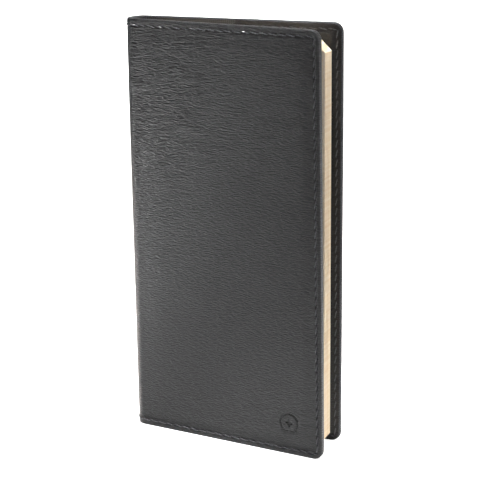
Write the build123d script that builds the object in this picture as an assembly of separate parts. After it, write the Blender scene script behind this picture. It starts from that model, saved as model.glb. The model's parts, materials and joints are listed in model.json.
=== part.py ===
"""Slim leather logbook: stitched cover, rounded spine and a sewn refill, standing on its tail edge.

Book axes while building: +X from the spine to the fore-edge, +Y from the front cover to the back
cover, +Z from tail to head. The hinge creases stand on the plane x = 0. Everything is moved at the
end so that the origin is the bottom centre of the whole object's box. Millimetres.
"""
from math import floor
import os

from build123d import *

os.makedirs("parts", exist_ok=True)

# Cover
COVER_HEIGHT = 178.0          # tail to head
COVER_WIDTH = 86.5            # hinge crease to fore-edge
CLOSED_THICKNESS = 14.0       # front face to back face when shut
SPINE_DEPTH = 5.0             # how far the rounded spine stands out behind the creases
CORNER_RADIUS = 4.0           # the two fore-edge corners of each cover
HINGE_GAP = 0.15              # each side of the crease plane, between spine and cover

# Layers of a cover, from outside to inside
LEATHER = 1.0
PADDING = 0.3
BOARD = 0.8
LINING = 0.5
EDGE_ROUND = 0.85             # rounding of the turned leather edge
LINING_INSET = 0.35           # the lining stops short of the leather's edge
PADDING_MARGIN = 4.2          # the padding and board stop inside the seam
PADDING_CORNER = 2.0          # corners of the padding and board

# Pocket flap
FLAP = 0.5
FLAP_START = 38.0             # from the crease to the flap's free edge
FLAP_CORNER = 3.4             # slanted corners of the free edge
FLAP_RIM = 3.3                # sewn margin on three sides

# Seam
SEAM_INSET = 2.6              # from head or tail to the seam's centre line
FORE_SEAM_INSET = 2.1         # from the fore-edge to the seam's centre line
SEAM_PITCH = 4.0
STITCH_LENGTH = 3.1
STITCH_WIDTH = 0.6
STITCH_RISE = 0.25            # how far an inside stitch stands on the surface
GROOVE_WIDTH = 0.9
GROOVE_DEPTH = 0.3

# Spine
SPINE_CARD = 0.5

# Refill
PAGE_OVERHANG = 4.0           # cover beyond the pages at head, tail and fore-edge
CARD = 0.4
CARD_START = 1.0              # from the crease to the card's folded end
SECTION_COUNT = 8
SECTION_PITCH = 0.8
SECTION_THICKNESS = 0.7       # eight leaves
FOLD_AXIS_X = 0.95            # axis on which every section turns
CORNER_CUT = 7.0              # cut head corner of the pages
THREAD_RADIUS = 0.12
THREAD_BORE_RADIUS = 0.16     # hollow in the innermost fold
THREAD_END = 12.0             # first and last sewing hole, from tail and head
MULL = 0.2
GLUE = 0.3
SPINE_CLEARANCE = 0.1         # between the folds and the gauze

# Pose at rest
COVER_OPEN_DEG = 7.0          # front cover away from shut
SECTION_SHARE = 0.04          # a section turns this much more of the cover's angle than the next

# Worked-out places
HALF_THICKNESS = CLOSED_THICKNESS / 2
LINING_Y = HALF_THICKNESS - LEATHER - PADDING - BOARD      # outer side of the lining
POCKET_Y = LINING_Y - LINING                               # inner side of the lining
FLAP_Y = POCKET_Y - CARD                                   # outer side of the flap
INNER_Y = FLAP_Y - FLAP                                    # inner side of the flap
SECTION_HALF = SECTION_THICKNESS / 2
PAGE_TOP = COVER_HEIGHT - PAGE_OVERHANG
PAGE_EDGE = COVER_WIDTH - PAGE_OVERHANG
MIN_CORNER = (Align.MIN, Align.MIN, Align.MIN)
OVERSHOOT = 1.0               # how far a cutter runs past the surface it opens


def panel(x_range, y_range, z_range, corner=0.0):
    """Upright plate; its two fore-edge corners are rounded by corner."""
    size = [high - low for low, high in (x_range, y_range, z_range)]
    place = Pos(x_range[0], y_range[0], z_range[0])
    plate = place * Box(*size, align=MIN_CORNER)
    if corner:
        plate = fillet(plate.edges().filter_by(Axis.Y).group_by(Axis.X)[-1], corner)
    return plate


def seam_groove():
    """Ring, open at the hinge, that the seam's sunk track takes out of the leather."""
    y_range = (HALF_THICKNESS - GROOVE_DEPTH, HALF_THICKNESS + OVERSHOOT)

    def plate(x_low, half_width):
        """Plate whose edges stand this far outside the seam's centre line."""
        z_low = SEAM_INSET - half_width
        x_high = COVER_WIDTH - FORE_SEAM_INSET + half_width
        return panel((x_low, x_high), y_range, (z_low, COVER_HEIGHT - z_low))

    return plate(-OVERSHOOT, GROOVE_WIDTH / 2) - plate(-2 * OVERSHOOT, -GROOVE_WIDTH / 2)


def cover_leather():
    """Outer leather: a shallow tray that wraps the padding and board, edges turned."""
    tray = panel((HINGE_GAP, COVER_WIDTH), (LINING_Y, HALF_THICKNESS), (0, COVER_HEIGHT), CORNER_RADIUS)
    outer_face = tray.faces().sort_by(Axis.Y)[-1]
    free_edges = outer_face.edges() - outer_face.edges().group_by(Axis.X)[0]
    tray = fillet(free_edges, EDGE_ROUND)
    filling = panel(
        (HINGE_GAP + LEATHER, COVER_WIDTH - PADDING_MARGIN),
        (LINING_Y, HALF_THICKNESS - LEATHER),
        (PADDING_MARGIN, COVER_HEIGHT - PADDING_MARGIN),
        PADDING_CORNER,
    )
    return tray - filling - seam_groove()


def cover_filling(y_outer, thickness):
    """Padding or board: a plate that lies inside the leather tray."""
    return panel(
        (HINGE_GAP + LEATHER, COVER_WIDTH - PADDING_MARGIN),
        (y_outer - thickness, y_outer),
        (PADDING_MARGIN, COVER_HEIGHT - PADDING_MARGIN),
        PADDING_CORNER,
    )


def cover_lining():
    """Lining sheet over the inside of the cover."""
    return panel(
        (HINGE_GAP, COVER_WIDTH - LINING_INSET),
        (POCKET_Y, LINING_Y),
        (LINING_INSET, COVER_HEIGHT - LINING_INSET),
        CORNER_RADIUS - LINING_INSET,
    )


def pocket_flap():
    """Flap with a sewn rim on three sides and slanted corners on its free edge."""
    z_low = LINING_INSET
    z_high = COVER_HEIGHT - LINING_INSET
    x_high = COVER_WIDTH - LINING_INSET
    flap = panel((FLAP_START, x_high), (INNER_Y, POCKET_Y), (z_low, z_high), CORNER_RADIUS - LINING_INSET)
    free_corners = flap.edges().filter_by(Axis.Y).group_by(Axis.X)[0]
    flap = chamfer(free_corners, FLAP_CORNER)
    pocket = panel(
        (0, COVER_WIDTH - FLAP_RIM),
        (FLAP_Y, POCKET_Y + OVERSHOOT),
        (FLAP_RIM, COVER_HEIGHT - FLAP_RIM),
    )
    return flap - pocket


def stitch_centres(length):
    """Evenly spaced stitch centres along a seam run of this length."""
    count = floor(length / SEAM_PITCH)
    pitch = length / count
    return [(index + 0.5) * pitch for index in range(count)]


def stitch(x, y_low, y_high, z, upright):
    """One stitch: a round-ended bar along the seam."""
    bar = extrude(Plane.XZ * SlotOverall(STITCH_LENGTH, STITCH_WIDTH), amount=-(y_high - y_low))
    turn = 90 if upright else 0
    return Pos(x, y_low, z) * Rot(0, turn, 0) * bar


def cover_stitches():
    """Stitches of one cover: sunk in the outside groove, standing on the inside surface."""
    outside = (HALF_THICKNESS - GROOVE_DEPTH, HALF_THICKNESS)
    seam_x = COVER_WIDTH - FORE_SEAM_INSET
    first_x = 2 * HINGE_GAP
    head_z = COVER_HEIGHT - SEAM_INSET
    bars = []
    for along in stitch_centres(seam_x - first_x):
        x = first_x + along
        on_lining = x + STITCH_LENGTH / 2 < FLAP_START
        on_flap = x - STITCH_LENGTH / 2 > FLAP_START + FLAP_CORNER
        for z in (SEAM_INSET, head_z):
            bars.append(stitch(x, *outside, z, upright=False))
            if on_lining:
                bars.append(stitch(x, POCKET_Y - STITCH_RISE, POCKET_Y, z, upright=False))
            if on_flap:
                bars.append(stitch(x, INNER_Y - STITCH_RISE, INNER_Y, z, upright=False))
    for along in stitch_centres(head_z - SEAM_INSET):
        z = SEAM_INSET + along
        bars.append(stitch(seam_x, *outside, z, upright=True))
        bars.append(stitch(seam_x, INNER_Y - STITCH_RISE, INNER_Y, z, upright=True))
    return Compound(bars)


def insert_card():
    """Card cover of the refill, lying in the pocket between lining and flap."""
    return panel((CARD_START, PAGE_EDGE), (FLAP_Y, POCKET_Y), (PAGE_OVERHANG, PAGE_TOP))


def cover_pieces():
    """All the pieces that turn with one cover, built on the back side."""
    return {
        "leather": cover_leather(),
        "padding": cover_filling(HALF_THICKNESS - LEATHER, PADDING),
        "board": cover_filling(HALF_THICKNESS - LEATHER - PADDING, BOARD),
        "lining": cover_lining(),
        "flap": pocket_flap(),
        "seam_thread": cover_stitches(),
        "card": insert_card(),
    }


def spine_shell(depth_out, thickness, z_low, z_high):
    """Half-round shell; depth_out is how far inside the spine's outer surface it starts."""
    outer = Ellipse(SPINE_DEPTH - depth_out, HALF_THICKNESS - depth_out)
    inner_depth = depth_out + thickness
    inner = Ellipse(SPINE_DEPTH - inner_depth, HALF_THICKNESS - inner_depth)
    behind = Pos(-HINGE_GAP, 0) * Rectangle(
        2 * SPINE_DEPTH, 2 * CLOSED_THICKNESS, align=(Align.MAX, Align.CENTER)
    )
    return Pos(0, 0, z_low) * extrude((outer - inner) & behind, amount=z_high - z_low)


def spine_leather():
    """Rounded spine leather with a sunk seam track near head and tail."""
    shell = spine_shell(0, LEATHER, 0, COVER_HEIGHT)
    for z in (SEAM_INSET, COVER_HEIGHT - SEAM_INSET):
        shell -= spine_shell(0, GROOVE_DEPTH, z - GROOVE_WIDTH / 2, z + GROOVE_WIDTH / 2)
    return shell


def spine_stitches():
    """Stitches over the spine: curved bars lying in the two seam tracks."""
    arc = EllipticalCenterArc((0, 0), SPINE_DEPTH, HALF_THICKNESS, start_angle=90, arc_size=180)
    bars = []
    for z in (SEAM_INSET, COVER_HEIGHT - SEAM_INSET):
        track = spine_shell(0, GROOVE_DEPTH, z - STITCH_WIDTH / 2, z + STITCH_WIDTH / 2)
        for along in stitch_centres(arc.length):
            frame = arc.location_at(along, position_mode=PositionMode.LENGTH)
            cutter = Box(STITCH_LENGTH, STITCH_LENGTH, STITCH_LENGTH)
            bars.append(track & (Pos(0, 0, z) * frame * cutter))
    return Compound(bars)


def section():
    """One folded section: a plate with a round back fold and a cut head corner."""
    fold = Circle(SECTION_HALF)
    leaves = Rectangle(PAGE_EDGE - FOLD_AXIS_X, SECTION_THICKNESS, align=(Align.MIN, Align.CENTER))
    outline = fold + leaves - Circle(THREAD_BORE_RADIUS)
    plate = extrude(outline, amount=PAGE_TOP - PAGE_OVERHANG)
    head_corner = plate.edges().filter_by(Axis.Y).group_by(Axis.X)[-1].sort_by(Axis.Z)[-1]
    return Pos(FOLD_AXIS_X, 0, PAGE_OVERHANG) * chamfer(head_corner, CORNER_CUT)


def section_thread():
    """Sewing thread lying in the innermost fold of a section."""
    length = PAGE_TOP - PAGE_OVERHANG - 2 * THREAD_END
    return Pos(FOLD_AXIS_X, 0, PAGE_OVERHANG + THREAD_END) * Cylinder(
        THREAD_RADIUS, length, align=(Align.CENTER, Align.CENTER, Align.MIN)
    )


def refill_back():
    """Gauze, glue and card strip behind the folds of the refill."""
    block_half = SECTION_COUNT * SECTION_PITCH / 2
    x_high = FOLD_AXIS_X - SECTION_HALF - SPINE_CLEARANCE
    layers = {}
    for name, thickness in (("spine_mull", MULL), ("spine_glue", GLUE), ("insert_spine_card", CARD)):
        x_range = (x_high - thickness, x_high)
        layers[name] = panel(x_range, (-block_half, block_half), (PAGE_OVERHANG, PAGE_TOP))
        x_high -= thickness
    return layers


def turned(piece, x, y, degrees):
    """Piece turned about an upright axis through (x, y)."""
    return Pos(x, y, 0) * Rot(0, 0, degrees) * Pos(-x, -y, 0) * piece


def front_copy(piece):
    """The same piece on the front cover, which stands a little open."""
    solids = [mirror(solid, about=Plane.XZ) for solid in piece.solids()]
    return Compound([turned(solid, 0, -HALF_THICKNESS, -COVER_OPEN_DEG) for solid in solids])


def side_name(side, name):
    """Node name of a cover's piece; the card covers belong to the refill."""
    return f"insert_{side}_card" if name == "card" else f"{side}_{name}"


nodes = {}
for name, piece in cover_pieces().items():
    nodes[side_name("back", name)] = piece
    nodes[side_name("front", name)] = front_copy(piece)

nodes["spine_leather"] = spine_leather()
nodes["spine_stiffener"] = spine_shell(LEATHER, SPINE_CARD, LINING_INSET, COVER_HEIGHT - LINING_INSET)
nodes["spine_lining"] = spine_shell(
    LEATHER + SPINE_CARD, LINING, LINING_INSET, COVER_HEIGHT - LINING_INSET
)
nodes["spine_seam_thread"] = spine_stitches()
nodes.update(refill_back())

section_axes = {}
for number in range(1, SECTION_COUNT + 1):
    y = (number - (SECTION_COUNT + 1) / 2) * SECTION_PITCH
    front_half = number <= SECTION_COUNT // 2
    share = SECTION_SHARE * (SECTION_COUNT // 2 + 1 - number) if front_half else 0.0
    angle = -share * COVER_OPEN_DEG
    section_axes[number] = y
    nodes[f"section_{number}"] = turned(Pos(0, y, 0) * section(), FOLD_AXIS_X, y, angle)
    nodes[f"section_{number}_thread"] = Pos(0, y, 0) * section_thread()

box = Compound(list(nodes.values())).bounding_box()
shift = Vector(-(box.min.X + box.max.X) / 2, -(box.min.Y + box.max.Y) / 2, -box.min.Z)
for name, piece in nodes.items():
    export_step(Pos(shift) * piece, f"parts/{name}.step")

print("whole box", box.size, "shift", shift)
print("front hinge", shift + Vector(0, -HALF_THICKNESS, 0), "back hinge", shift + Vector(0, HALF_THICKNESS, 0))
for number, y in section_axes.items():
    print("section", number, shift + Vector(FOLD_AXIS_X, y, 0))
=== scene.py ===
"""Slim stitched leather logbook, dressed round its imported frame.

Covers are described in the unrolled plane of their leather: s runs from the middle of the spine to
the fore-edge, w from tail to head, and v stands outward from the cover's outer face. Millimetres
are used for these three, and one path class turns them into metres in the row frame.
"""

import json
import logging
import math
import random
from collections.abc import Callable, Iterable, Sequence
from dataclasses import dataclass, field
from enum import Enum
from typing import ClassVar, NamedTuple

import bmesh
import bpy
import numpy as np
from bpy.types import Material, NodeSocket, NodeTree, Object
from mathutils import Matrix, Vector


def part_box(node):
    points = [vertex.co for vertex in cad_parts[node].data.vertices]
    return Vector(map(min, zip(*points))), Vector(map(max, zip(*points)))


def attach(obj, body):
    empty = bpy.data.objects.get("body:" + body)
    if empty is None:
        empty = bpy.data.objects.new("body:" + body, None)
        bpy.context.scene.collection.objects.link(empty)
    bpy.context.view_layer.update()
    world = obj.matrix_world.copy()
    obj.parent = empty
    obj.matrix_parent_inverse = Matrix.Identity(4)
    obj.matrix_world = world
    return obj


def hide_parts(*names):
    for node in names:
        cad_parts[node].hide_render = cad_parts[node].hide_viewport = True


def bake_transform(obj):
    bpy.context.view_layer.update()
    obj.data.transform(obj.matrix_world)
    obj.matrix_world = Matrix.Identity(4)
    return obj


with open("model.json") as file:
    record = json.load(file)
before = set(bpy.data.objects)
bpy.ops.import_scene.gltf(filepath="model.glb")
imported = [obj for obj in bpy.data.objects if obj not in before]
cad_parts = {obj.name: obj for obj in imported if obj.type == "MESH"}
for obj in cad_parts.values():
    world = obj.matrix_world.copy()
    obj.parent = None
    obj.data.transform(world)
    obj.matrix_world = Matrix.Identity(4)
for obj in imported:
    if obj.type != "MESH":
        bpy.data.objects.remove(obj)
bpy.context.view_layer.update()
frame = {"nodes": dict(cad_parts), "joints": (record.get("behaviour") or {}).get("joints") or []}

MM = 0.001
log = logging.getLogger("logbook")
Point = tuple[float, float, float]
Flat = tuple[float, float]
Pattern = tuple[dict[str, object], NodeSocket, float]
Height = Callable[[float, float], float]
Place = Callable[[float, float, float], Point]


# Colour, nodes and finishes -------------------------------------------------------------------


def linear(hex_colour: str) -> tuple[float, float, float, float]:
    """Turn an sRGB hex colour into linear light.

    Args:
        hex_colour: six hex digits, such as "1d1d1f".

    Returns:
        Linear red, green, blue and an alpha of 1.
    """
    channels = []
    for start in (0, 2, 4):
        value = int(hex_colour[start : start + 2], 16) / 255
        channels.append(value / 12.92 if value <= 0.04045 else ((value + 0.055) / 1.055) ** 2.4)
    return (*channels, 1.0)


def add_node(
    tree: NodeTree,
    kind: str,
    settings: dict[str, object] | None = None,
    links: dict[str | int, object] | None = None,
    output: int = 0,
) -> NodeSocket | None:
    """Add one shader node with its settings and its inputs.

    Args:
        tree: the node tree that takes the node.
        kind: the node's Blender type name.
        settings: properties to set on the node.
        links: input name or index, and the socket that feeds it or the value it holds.
        output: which of the node's outputs is wanted.

    Returns:
        That output's socket, or nothing for a node without outputs.
    """
    node = tree.nodes.new(kind)
    for name, value in (settings or {}).items():
        setattr(node, name, value)
    for name, value in (links or {}).items():
        if isinstance(value, NodeSocket):
            tree.links.new(value, node.inputs[name])
        else:
            node.inputs[name].default_value = value
    return node.outputs[output] if len(node.outputs) else None


class MeshData(Enum):
    """Names of the mesh data that the finishes read."""

    SKIN = "skin_mm"
    # Paler edge colour: partly rubbing from handling, partly a painted highlight on the edges.
    WEAR = "wear"


UV_PER_MM = 0.01
DOUBLED_M = 1e-7
CREASE_DEG = 40.0
LEAF_CREASE_DEG = 30.0
THREAD_CREASE_DEG = 80.0
NOISE = "ShaderNodeTexNoise"
RANGE = "ShaderNodeMapRange"
MATH = "ShaderNodeMath"
VECTOR = "ShaderNodeVectorMath"
MIX = "ShaderNodeMix"
MIX_COLOUR = 2
TEXTURE_OBJECT = 3
ATTRIBUTE_FACTOR = 2
WAVE_FACTOR = 1
COLOURS = {"data_type": "RGBA"}
MULTIPLY = {"operation": "MULTIPLY"}
MULTIPLY_ADD = {"operation": "MULTIPLY_ADD"}
SCALE = {"operation": "SCALE"}


class Canvas(NamedTuple):
    """What a finish is drawn on: a node tree, and two places in millimetres."""

    tree: NodeTree
    skin: NodeSocket  # in the unrolled sheet
    rest: NodeSocket  # in the row frame, at rest


@dataclass(frozen=True)
class Finish:
    """A finish by its real name; the kinds below draw their own pattern and surface."""

    name: str

    def material(self) -> Material:
        """Return the material, with its pattern, its bump and its surface.

        Returns:
            The new material.
        """
        made = bpy.data.materials.new(self.name)
        made.use_nodes = True
        tree = made.node_tree
        tree.nodes.clear()
        skin = add_node(tree, "ShaderNodeUVMap", {"uv_map": MeshData.SKIN.value})
        skin = add_node(tree, VECTOR, SCALE, {0: skin, "Scale": 1 / UV_PER_MM})
        rest = add_node(tree, "ShaderNodeTexCoord", output=TEXTURE_OBJECT)
        rest = add_node(tree, VECTOR, SCALE, {0: rest, "Scale": 1 / MM})
        surface, height, relief_mm = self.pattern(Canvas(tree, skin, rest))
        bump = {"Height": height, "Distance": relief_mm * MM, "Strength": 1.0}
        normal = add_node(tree, "ShaderNodeBump", links=bump)
        surface = {**surface, "Normal": normal}
        shader = add_node(tree, "ShaderNodeBsdfPrincipled", links=surface)
        add_node(tree, "ShaderNodeOutputMaterial", links={"Surface": shader})
        return made

    def pattern(self, canvas: Canvas) -> Pattern:
        """Draw the finish's own pattern.

        Args:
            canvas: what it is drawn on.

        Returns:
            Inputs of the Principled shader, the relief's socket, and its depth in millimetres.
        """
        raise NotImplementedError


@dataclass(frozen=True)
class GrainedCalf(Finish):
    """Corrected calf, drum dyed, plated with a fine wavy ridge and given a satin top coat.

    The eye sees a deep grey-black with short level ridges that break up a broad, soft highlight.
    Their crests are painted paler and their valleys darker, as painted highlight and painted shade.
    A slightly paler line runs along the turned edges, partly real rubbing from handling and partly
    a painted highlight on their rounded arrises. The ridges are drawn a little further apart than
    the plate's own, so that they show.
    """

    # The ridges' crests are painted paler and their valleys darker: painted highlight and painted
    # shade in the grain.
    shaded_valley: str = "040405"
    highlit_crest: str = "151516"
    # Paler colour of the turned edges: partly real rubbing, partly a painted highlight along them.
    rubbed_and_highlit: str = "262628"
    ridge_mm: float = 0.42
    ridge_length_mm: float = 2.4
    ridge_span: tuple[float, float] = (0.38, 0.62)
    sway_mm: float = 1.2
    sways_per_mm: float = 0.22
    pores_per_mm: float = 3.2
    pore_share: float = 0.4
    clouds_per_mm: float = 0.05
    cloud_share: float = 0.4
    relief_mm: float = 0.13
    gloss_low: float = 0.28
    gloss_drift: float = 0.12
    coat_ior: float = 1.42

    def pattern(self, canvas: Canvas) -> Pattern:
        """Draw the ridges, the pores between them and the handled edges.

        Args:
            canvas: what it is drawn on.

        Returns:
            The shader's inputs, the relief and its depth.
        """
        tree, skin, _ = canvas
        wander = {"Vector": skin, "Scale": self.sways_per_mm, "Detail": 2.0}
        sway = add_node(tree, NOISE, None, wander)
        shifted = {0: sway, 1: (0.0, self.sway_mm, 0.0), 2: skin}
        swayed = add_node(tree, VECTOR, MULTIPLY_ADD, shifted)
        per_mm = (1 / self.ridge_length_mm, 1 / self.ridge_mm, 1.0)
        cells = add_node(tree, VECTOR, MULTIPLY, {0: swayed, 1: per_mm})
        plate = {"Vector": cells, "Scale": 1.0, "Detail": 1.2, "Distortion": 0.5}
        ridges = add_node(tree, NOISE, None, plate)
        low, high = self.ridge_span
        crisp = {"Value": ridges, "From Min": low, "From Max": high}
        crisp = add_node(tree, RANGE, {"clamp": True}, crisp)
        pores = {"Vector": skin, "Scale": self.pores_per_mm, "Detail": 2.0}
        pores = add_node(tree, NOISE, None, pores)
        height = add_node(tree, MATH, MULTIPLY_ADD, {0: pores, 1: self.pore_share, 2: crisp})
        cloud = {"Vector": skin, "Scale": self.clouds_per_mm, "Detail": 3.0}
        cloud = add_node(tree, NOISE, None, cloud)
        clouded = add_node(tree, MATH, MULTIPLY, {0: cloud, 1: self.cloud_share})
        tone = add_node(tree, MATH, MULTIPLY_ADD, {0: crisp, 1: 1 - self.cloud_share, 2: clouded})
        # Colour follows the ridges' height, with a random cloudy tone: darker valleys are painted
        # shade, paler crests a painted highlight.
        ends = {6: linear(self.shaded_valley), 7: linear(self.highlit_crest)}
        dyed = add_node(tree, MIX, COLOURS, {0: tone, **ends}, MIX_COLOUR)
        # The edges are painted paler: partly rubbing from handling, partly a painted highlight on
        # the rounded edges.
        wear = {"attribute_name": MeshData.WEAR.value}
        wear = add_node(tree, "ShaderNodeAttribute", wear, output=ATTRIBUTE_FACTOR)
        worn_and_highlit = add_node(tree, MATH, MULTIPLY, {0: wear, 1: cloud})
        rubbed_and_highlit_edge = {0: worn_and_highlit, 6: dyed, 7: linear(self.rubbed_and_highlit)}
        colour = add_node(tree, MIX, COLOURS, rubbed_and_highlit_edge, MIX_COLOUR)
        gloss = {0: cloud, 1: self.gloss_drift, 2: self.gloss_low}
        gloss = add_node(tree, MATH, MULTIPLY_ADD, gloss)
        surface = {"Base Color": colour, "Roughness": gloss, "IOR": self.coat_ior}
        return surface, height, self.relief_mm


@dataclass(frozen=True)
class RibbedLining(Finish):
    """Black viscose lining, woven with a fine rib and glued down.

    The eye sees a dull black with upright ribs crossed by paler floats that catch the light. The
    rib and the pick are drawn at about twice the real thread spacing, so that they show.
    """

    low: str = "09090b"
    # The pale end is a painted highlight on the weave's floats; the lining itself is black.
    high: str = "34373d"
    rib_mm: float = 0.9
    pick_mm: float = 0.7
    slubs_per_mm: float = 0.8
    slub_share: float = 0.3
    relief_mm: float = 0.12
    bands_per_scale: float = 20.0

    def pattern(self, canvas: Canvas) -> Pattern:
        """Draw ribs crossed by picks, with slubs.

        Args:
            canvas: what it is drawn on.

        Returns:
            The shader's inputs, the relief and its depth.
        """
        tree, skin, _ = canvas
        bands = []
        for axis, pitch in (("X", self.rib_mm), ("Y", self.pick_mm)):
            kind = {"wave_type": "BANDS", "bands_direction": axis, "wave_profile": "SIN"}
            scale = math.tau / self.bands_per_scale / pitch
            wave = {"Vector": skin, "Scale": scale, "Distortion": 0.8, "Detail": 1.0}
            bands.append(add_node(tree, "ShaderNodeTexWave", kind, wave, WAVE_FACTOR))
        weave = add_node(tree, MATH, MULTIPLY, {0: bands[0], 1: bands[1]})
        slub = {"Vector": skin, "Scale": self.slubs_per_mm, "Detail": 3.0}
        slub = add_node(tree, NOISE, None, slub)
        height = add_node(tree, MATH, MULTIPLY_ADD, {0: slub, 1: self.slub_share, 2: weave})
        # Paler where the weave and its slubs stand highest: a painted highlight for the floats'
        # glints.
        ends = {6: linear(self.low), 7: linear(self.high)}
        colour = add_node(tree, MIX, COLOURS, {0: height, **ends}, MIX_COLOUR)
        surface = {"Base Color": colour, "Roughness": 0.42}
        surface |= {"Sheen Weight": 0.25, "Sheen Roughness": 0.4}
        return surface, height, self.relief_mm


@dataclass(frozen=True)
class PliedThread(Finish):
    """Bonded polyester or linen thread, plied and waxed.

    The eye sees small glints along the twist; the plies themselves are modelled.
    """

    low: str
    high: str
    roughness: float = 0.4
    fibres_per_mm: float = 7.0
    relief_mm: float = 0.03

    def pattern(self, canvas: Canvas) -> Pattern:
        """Draw the fibres of the plies.

        Args:
            canvas: what it is drawn on.

        Returns:
            The shader's inputs, the relief and its depth.
        """
        tree, _, rest = canvas
        fibre = {"Vector": rest, "Scale": self.fibres_per_mm, "Detail": 3.0}
        fibre = add_node(tree, NOISE, None, fibre)
        ends = {6: linear(self.low), 7: linear(self.high)}
        colour = add_node(tree, MIX, COLOURS, {0: fibre, **ends}, MIX_COLOUR)
        return {"Base Color": colour, "Roughness": self.roughness}, fibre, self.relief_mm


@dataclass(frozen=True)
class CreamPaper(Finish):
    """Uncoated cream writing paper, cut in a block, with a faint grey ruling on its leaves.

    The eye sees a warm matt block whose cut edges show as fine upright lines.
    """

    low: str = "f1dcbb"
    high: str = "fdf0da"
    ruling: str = "aaa59c"
    row_mm: float = 6.5
    column_mm: float = 19.0
    line_mm: float = 0.22
    ruled_from_mm: float = 5.0
    ruled_to_mm: float = 79.0
    ink_share: float = 0.5
    edge_cells_per_mm: tuple[float, float, float] = (0.02, 2.1, 0.01)
    tone_span: tuple[float, float] = (0.65, 1.15)

    def pattern(self, canvas: Canvas) -> Pattern:
        """Draw the fibres, the cut edges' lines and the ruling.

        Args:
            canvas: what it is drawn on.

        Returns:
            The shader's inputs, the relief and its depth.
        """
        tree, skin, rest = canvas
        fibre = add_node(tree, NOISE, None, {"Vector": skin, "Scale": 0.9, "Detail": 4.0})
        stack = add_node(tree, VECTOR, MULTIPLY, {0: rest, 1: self.edge_cells_per_mm})
        leaves = add_node(tree, NOISE, None, {"Vector": stack, "Scale": 1.0, "Detail": 1.0})
        tone = add_node(tree, MATH, MULTIPLY_ADD, {0: leaves, 1: 0.8, 2: fibre})
        low, high = self.tone_span
        tone = {"Value": tone, "From Min": low, "From Max": high}
        tone = add_node(tree, RANGE, {"clamp": True}, tone)
        ends = {6: linear(self.low), 7: linear(self.high)}
        paper = add_node(tree, MIX, COLOURS, {0: tone, **ends}, MIX_COLOUR)
        across, up = (
            add_node(tree, "ShaderNodeSeparateXYZ", links={0: skin}, output=axis) for axis in (0, 1)
        )
        lines = []
        for place, pitch in ((up, self.row_mm), (across, self.column_mm)):
            phase = add_node(tree, MATH, {"operation": "PINGPONG"}, {0: place, 1: pitch / 2})
            on_line = {0: phase, 1: self.line_mm / 2}
            lines.append(add_node(tree, MATH, {"operation": "LESS_THAN"}, on_line))
        ruled = add_node(tree, MATH, {"operation": "MAXIMUM"}, {0: lines[0], 1: lines[1]})
        limits = (("GREATER_THAN", self.ruled_from_mm), ("LESS_THAN", self.ruled_to_mm))
        for operation, limit in limits:
            inside = add_node(tree, MATH, {"operation": operation}, {0: across, 1: limit})
            ruled = add_node(tree, MATH, MULTIPLY, {0: ruled, 1: inside})
        ink = add_node(tree, MATH, MULTIPLY, {0: ruled, 1: self.ink_share})
        inked = {0: ink, 6: paper, 7: linear(self.ruling)}
        colour = add_node(tree, MIX, COLOURS, inked, MIX_COLOUR)
        return {"Base Color": colour, "Roughness": 0.88}, tone, 0.02


@dataclass(frozen=True)
class Fibrous(Finish):
    """Board, card, foam, gauze or glue: a plain sheet with its own fleck.

    The eye sees a matt, slightly uneven tone whose fleck is as coarse as the stuff it is made of.
    """

    low: str
    high: str
    fleck_mm: float
    roughness: float = 0.85
    relief_mm: float = 0.03

    def pattern(self, canvas: Canvas) -> Pattern:
        """Draw the fleck.

        Args:
            canvas: what it is drawn on.

        Returns:
            The shader's inputs, the relief and its depth.
        """
        tree, _, rest = canvas
        fleck = {"Vector": rest, "Scale": 1 / self.fleck_mm, "Detail": 4.0}
        fleck = add_node(tree, NOISE, None, fleck)
        tone = {"Value": fleck, "From Min": 0.3, "From Max": 0.7}
        tone = add_node(tree, RANGE, {"clamp": True}, tone)
        ends = {6: linear(self.low), 7: linear(self.high)}
        colour = add_node(tree, MIX, COLOURS, {0: tone, **ends}, MIX_COLOUR)
        return {"Base Color": colour, "Roughness": self.roughness}, fleck, self.relief_mm


# Mesh helpers ---------------------------------------------------------------------------------


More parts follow.
